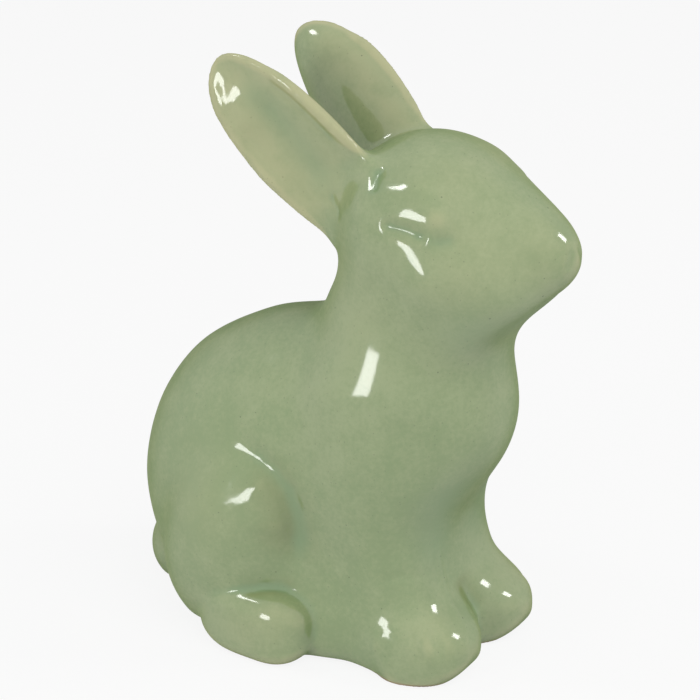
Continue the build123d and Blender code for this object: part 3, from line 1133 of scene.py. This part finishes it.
def clay_material(glaze, specks, clay):
    """Matt fired clay with a few iron specks."""
    material = bpy.data.materials.new("bare_clay")
    material.use_nodes = True
    bench = Bench(material.node_tree)
    shader = material.node_tree.nodes["Principled BSDF"]
    place = bench.add("ShaderNodeTexCoord").outputs["Object"]
    fired = bench.group(clay, Place=place, Clay=colour_of(glaze.clay))
    colour = specked(bench, fired.outputs["Colour"], place, specks, CLAY_SPECKS, glaze)
    bench.feed(colour, shader.inputs["Base Color"])
    shader.inputs["Roughness"].default_value = BARE_CLAY
    bumped(bench, shader, fired.outputs["Height"], 0.5, CLAY_GRAIN_HEIGHT)
    return material


class RABBIT_OT_finishes(bpy.types.Operator):
    """Mixes the glaze and the clay"""

    bl_idname = "rabbit.finishes"
    bl_label = "Mix the Glaze and the Clay"

    def execute(self, context):
        """Makes the two materials from the panel's colours."""
        glaze = context.scene.rabbit_glaze
        specks, clay = speck_group(), clay_group()
        workshop["celadon_glaze"] = glaze_material(glaze, specks, clay)
        workshop["bare_clay"] = clay_material(glaze, specks, clay)
        return {"FINISHED"}


class RABBIT_OT_body(bpy.types.Operator):
    """Glazes the body with its chest, haunches and fore legs"""

    bl_idname = "rabbit.body"
    bl_label = "Glaze the Body"

    def execute(self, context):
        """Adds the body's skin."""
        skin_piece("body_casting")
        return {"FINISHED"}


class RABBIT_OT_head(bpy.types.Operator):
    """Glazes the head with its muzzle, cheeks and eyes"""

    bl_idname = "rabbit.head"
    bl_label = "Glaze the Head"

    def execute(self, context):
        """Adds the head's skin."""
        skin_piece("head_casting")
        return {"FINISHED"}


class RABBIT_OT_ears(bpy.types.Operator):
    """Glazes the two dished ears"""

    bl_idname = "rabbit.ears"
    bl_label = "Glaze the Ears"

    def execute(self, context):
        """Adds both ears' skins."""
        skin_piece("ear_left")
        skin_piece("ear_right")
        return {"FINISHED"}


class RABBIT_OT_feet(bpy.types.Operator):
    """Glazes the fore paws and the hind feet"""

    bl_idname = "rabbit.feet"
    bl_label = "Glaze the Paws and Feet"

    def execute(self, context):
        """Adds the skins of the four paws and feet."""
        for side in ("left", "right"):
            skin_piece("fore_paw_" + side)
            skin_piece("hind_foot_" + side)
        return {"FINISHED"}


class RABBIT_OT_tail(bpy.types.Operator):
    """Glazes the tail"""

    bl_idname = "rabbit.tail"
    bl_label = "Glaze the Tail"

    def execute(self, context):
        """Adds the tail's skin."""
        skin_piece("tail")
        return {"FINISHED"}


class RABBIT_OT_base_disc(bpy.types.Operator):
    """Gives the closing disc under the rabbit its bare clay"""

    bl_idname = "rabbit.base_disc"
    bl_label = "Finish the Base Disc"

    def execute(self, context):
        """Sets the disc's material."""
        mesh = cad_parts["base_disc"].data
        mesh.materials.clear()
        mesh.materials.append(workshop["bare_clay"])
        return {"FINISHED"}


def direction(azimuth, elevation):
    """Level and raised direction as seen from the rabbit: 0 is its front, 90 degrees its left."""
    flat = math.cos(elevation)
    return Vector((math.sin(azimuth) * flat, -math.cos(azimuth) * flat, math.sin(elevation)))


def area_lamp(name, way, distance, size, power, mirrored):
    """A soft rectangular lamp seen in a direction (azimuth, elevation) from the rabbit."""
    data = bpy.data.lights.new(name, "AREA")
    data.shape = "RECTANGLE"
    data.size, data.size_y = size
    data.energy = power
    lamp = bpy.data.objects.new(name, data)
    back = direction(*(math.radians(angle) for angle in way))
    lamp.location = Vector(LAMP_AIM) + back * distance
    lamp.rotation_euler = (-back).to_track_quat("-Z", "Y").to_euler()
    lamp.visible_glossy = mirrored
    bpy.context.scene.collection.objects.link(lamp)


def shown_rays(bench):
    """1 for rays that show the surroundings: straight, mirrored or through glass."""
    path = bench.add("ShaderNodeLightPath").outputs
    seen = bench.math("MAXIMUM", path["Is Camera Ray"], path["Is Glossy Ray"])
    return bench.math("MAXIMUM", seen, path["Is Transmission Ray"])


class RABBIT_OT_stage(bpy.types.Operator):
    """Sets up floor, lamps, room light and camera"""

    bl_idname = "rabbit.stage"
    bl_label = "Set the Stage"

    def execute(self, context):
        """Builds the plain pale studio."""
        studio = context.scene.rabbit_studio
        self.floor()
        self.room(context.scene, studio)
        self.lamps()
        self.camera(context.scene, studio)
        context.scene.view_settings.view_transform = "Standard"
        return {"FINISHED"}

    def floor(self):
        """Wide pale floor that keeps the rabbit's shadow."""
        low, high = -FLOOR_HALF, FLOOR_HALF
        mesh = bpy.data.meshes.new("studio_floor")
        corners = [(low, low, 0), (high, low, 0), (high, high, 0), (low, high, 0)]
        mesh.from_pydata(corners, [], [(0, 1, 2, 3)])
        floor = bpy.data.objects.new("studio_floor", mesh)
        bpy.context.scene.collection.objects.link(floor)
        material = bpy.data.materials.new("studio_paper")
        material.use_nodes = True
        bench = Bench(material.node_tree)
        shader = material.node_tree.nodes["Principled BSDF"]
        place = bench.add("ShaderNodeTexCoord").outputs["Object"]
        grain = bench.noise(place, PAPER_GRAIN_SIZE)
        grey, pale = (0.72, 0.72, 0.72, 1), (0.76, 0.76, 0.76, 1)
        bench.feed(bench.mix(grain, grey, pale), shader.inputs["Base Color"])
        shader.inputs["Roughness"].default_value = PAPER
        glow = bench.add("ShaderNodeEmission")
        blend = bench.add("ShaderNodeMixShader")
        bench.feed(bench.math("MULTIPLY", shown_rays(bench), FLOOR_WHITE), blend.inputs[0])
        bench.feed(shader.outputs[0], blend.inputs[1])
        bench.feed(glow.outputs[0], blend.inputs[2])
        bench.feed(blend.outputs[0], material.node_tree.nodes["Material Output"].inputs[0])
        mesh.materials.append(material)

    def room(self, scene, studio):
        """White surroundings, dimmer as a light than as they look."""
        world = bpy.data.worlds.new("studio_room")
        world.use_nodes = True
        scene.world = world
        bench = Bench(world.node_tree)
        strength = bench.ramp(shown_rays(bench), 0, 1, studio.world_strength, 1)
        background = world.node_tree.nodes["Background"]
        background.inputs[0].default_value = (1, 1, 1, 1)
        bench.feed(strength, background.inputs[1])

    def lamps(self):
        """Soft boxes around the rabbit."""
        for settings in LAMPS:
            area_lamp(*settings)

    def camera(self, scene, studio):
        """Camera at the photograph's angle."""
        data = bpy.data.cameras.new("camera")
        data.sensor_width = 36
        data.lens = studio.lens
        camera = bpy.data.objects.new("camera", data)
        back = direction(studio.azimuth, studio.elevation)
        camera.location = Vector(studio.middle) + back * studio.distance
        camera.rotation_euler = (-back).to_track_quat("-Z", "Y").to_euler()
        scene.collection.objects.link(camera)
        scene.camera = camera


class RABBIT_PT_panel(bpy.types.Panel):
    """Lists the rabbit's sizes, colours and steps"""

    bl_idname = "RABBIT_PT_panel"
    bl_label = "Glazed Rabbit"
    bl_space_type = "VIEW_3D"
    bl_region_type = "UI"
    bl_category = "Rabbit"

    def draw(self, context):
        """Draws settings and buttons."""
        scene = context.scene
        for settings in (scene.rabbit_shape, scene.rabbit_glaze, scene.rabbit_studio):
            box = self.layout.box()
            for name in settings.bl_rna.properties.keys():
                if name not in ("rna_type", "name"):
                    box.prop(settings, name)
        for step_class in STEPS:
            self.layout.operator(step_class.bl_idname)


SETTINGS = {
    "rabbit_shape": RabbitShape,
    "rabbit_glaze": RabbitGlaze,
    "rabbit_studio": RabbitStudio,
}
STEPS = (
    RABBIT_OT_finishes,
    RABBIT_OT_glaze_skin,
    RABBIT_OT_body,
    RABBIT_OT_head,
    RABBIT_OT_ears,
    RABBIT_OT_feet,
    RABBIT_OT_tail,
    RABBIT_OT_base_disc,
    RABBIT_OT_stage,
)


def register():
    """Registers the settings, the steps and the panel."""
    for name, settings in SETTINGS.items():
        bpy.utils.register_class(settings)
        setattr(bpy.types.Scene, name, PointerProperty(type=settings))
    for step_class in STEPS:
        bpy.utils.register_class(step_class)
    bpy.utils.register_class(RABBIT_PT_panel)


def unregister():
    """Takes the panel, the steps and the settings away again."""
    bpy.utils.unregister_class(RABBIT_PT_panel)
    for step_class in reversed(STEPS):
        bpy.utils.unregister_class(step_class)
    for name, settings in SETTINGS.items():
        delattr(bpy.types.Scene, name)
        bpy.utils.unregister_class(settings)


def main():
    """Builds the whole rabbit."""
    register()
    for step_class in STEPS:
        area, call = step_class.bl_idname.split(".")
        getattr(getattr(bpy.ops, area), call)()


if __name__ == "__main__":
    main()
